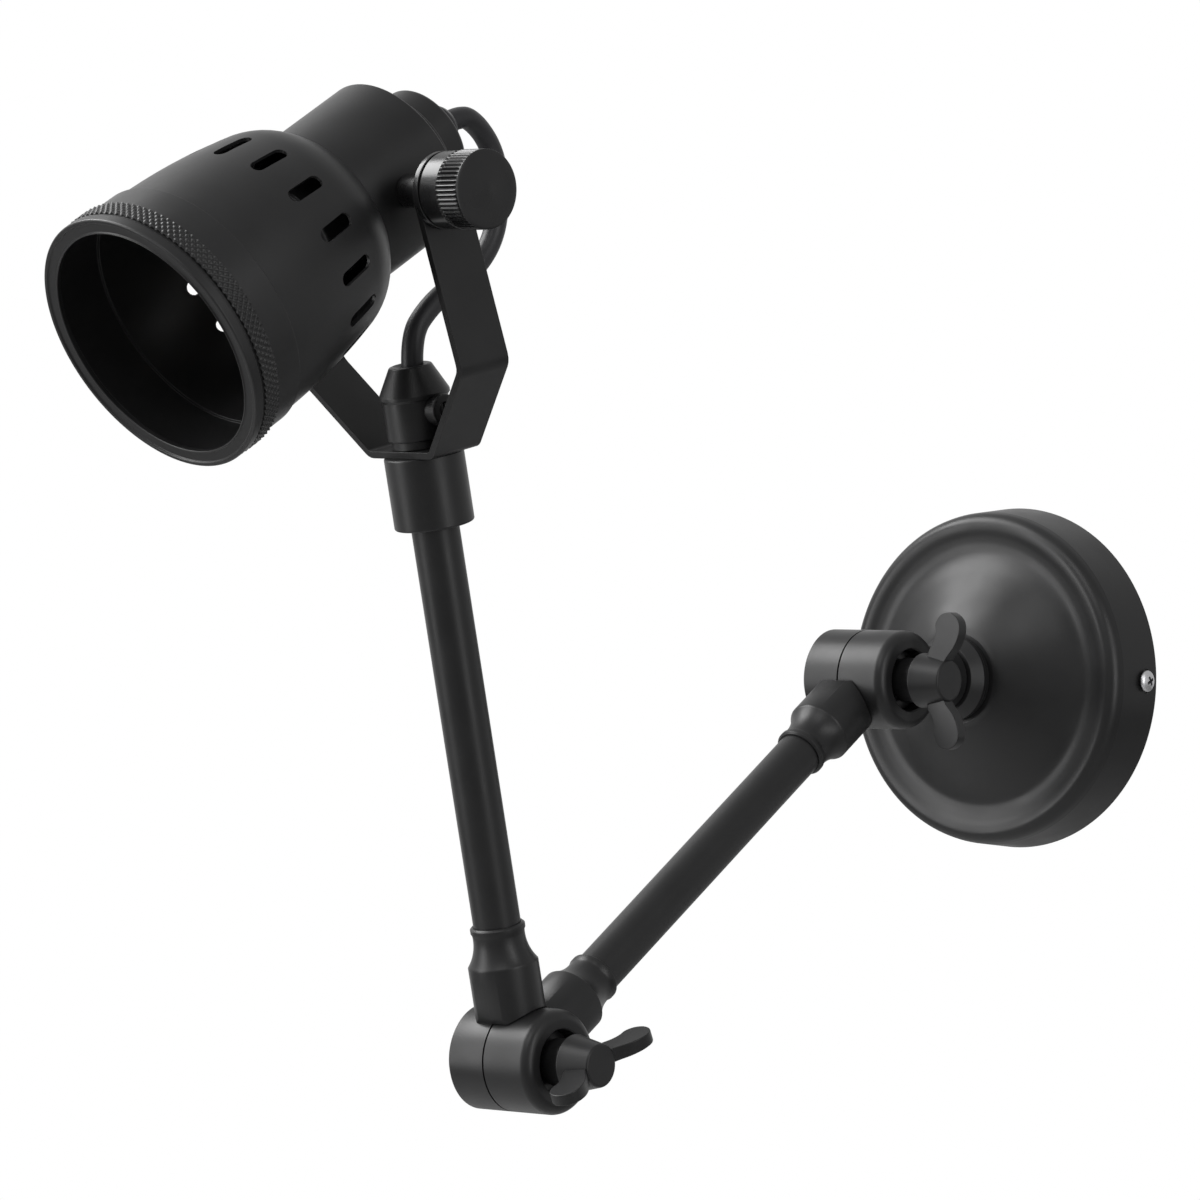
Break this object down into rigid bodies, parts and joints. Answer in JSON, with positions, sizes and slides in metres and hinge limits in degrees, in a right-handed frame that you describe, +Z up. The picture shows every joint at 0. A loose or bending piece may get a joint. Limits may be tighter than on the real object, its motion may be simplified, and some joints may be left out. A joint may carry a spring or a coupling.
{
  "type": "articulating wall lamp",
  "caption": "Articulating wall lamp: round canopy, two tube arms on wing-nut knuckles, and a strap yoke with a tilting bell-shaped spot head held by knurled thumb knobs.",
  "frame": {"origin": "middle of the canopy's open back on the wall, which is the middle of the bracket's slot pattern", "axes": "+Y into the wall, +Z up, +X to the right as seen from the room; the lamp reaches out along -Y"},
  "size_m": [0.1278, 0.4449, 0.322],
  "materials": {
    "black_coat": "satin black powder coat",
    "steel": "zinc plated",
    "brass": "plain",
    "black_plastic": "moulded",
    "pale_plastic": "moulded",
    "cord_sheath": "matte sheath"
  },
  "bodies": {
    "wall_side": {"canopy": "black_coat", "wall_bracket": "steel", "right_canopy_screw": "steel", "left_canopy_screw": "steel", "terminal_block": "pale_plastic", "earth_screw": "brass", "canopy_boss": "black_coat", "stem_nipple": "steel", "stem_washer": "steel", "stem_lock_nut": "steel", "shoulder_stem": "black_coat", "shoulder_friction_washer": "black_plastic", "shoulder_flat_washer": "steel", "shoulder_spring_washer": "steel"},
    "lower_arm": {"lower_arm_rear_socket": "black_coat", "lower_arm_tube": "black_coat", "lower_arm_front_socket": "black_coat", "shoulder_bolt": "steel", "elbow_friction_washer": "black_plastic", "elbow_flat_washer": "steel", "elbow_spring_washer": "steel"},
    "upper_arm": {"upper_arm_socket": "black_coat", "upper_arm_tube": "black_coat", "upper_arm_collar": "black_coat", "yoke_nipple": "steel", "elbow_bolt": "steel"},
    "yoke": {"yoke": "black_coat", "cord_grip": "black_coat", "cord_grip_screw": "steel"},
    "head": {"head_barrel": "black_coat", "shade": "black_coat", "front_ring": "black_coat", "lampholder": "black_plastic", "centre_contact": "brass", "holder_nipple": "steel", "holder_nut": "steel", "rear_cap": "black_coat", "rear_bushing": "black_plastic", "right_stud": "steel", "left_stud": "steel", "cord": "cord_sheath"},
    "shoulder_wing_nut": {"shoulder_wing_nut": "black_coat"},
    "elbow_wing_nut": {"elbow_wing_nut": "black_coat"},
    "right_knob": {"right_knob": "black_coat"},
    "left_knob": {"left_knob": "black_coat"}
  },
  "joints": [
    {"name": "shoulder", "type": "hinge", "parent": "wall_side", "child": "lower_arm", "pos_m": [0, -0.0858, 0], "axis": [1, 0, 0], "range_deg": [-124, 56]},
    {"name": "elbow", "type": "hinge", "parent": "lower_arm", "child": "upper_arm", "pos_m": [0, -0.26413, -0.12028], "axis": [1, 0, 0], "range_deg": [-2, 110]},
    {"name": "yoke_swivel", "type": "hinge", "parent": "upper_arm", "child": "yoke", "pos_m": [0, -0.31227, 0.07425], "axis": [0, -0.2402, 0.9707], "range_deg": [-150, 150]},
    {"name": "head_tilt", "type": "hinge", "parent": "yoke", "child": "head", "pos_m": [-0.00142, -0.34466, 0.15152], "axis": [0.994, -0.1065, -0.0264], "range_deg": [-90, 25], "deforming": ["cord"]},
    {"name": "shoulder_wing_nut_turn", "type": "hinge", "parent": "wall_side", "child": "shoulder_wing_nut", "pos_m": [0.03, -0.0858, 0], "axis": [1, 0, 0], "continuous": true},
    {"name": "elbow_wing_nut_turn", "type": "hinge", "parent": "lower_arm", "child": "elbow_wing_nut", "pos_m": [0.03, -0.26413, -0.12028], "axis": [1, 0, 0], "continuous": true},
    {"name": "right_knob_turn", "type": "hinge", "parent": "head", "child": "right_knob", "pos_m": [0.04827, -0.34999, 0.1502], "axis": [0.994, -0.1065, -0.0264], "continuous": true},
    {"name": "left_knob_turn", "type": "hinge", "parent": "head", "child": "left_knob", "pos_m": [-0.05112, -0.33934, 0.15284], "axis": [-0.994, 0.1065, 0.0264], "continuous": true}
  ]
}
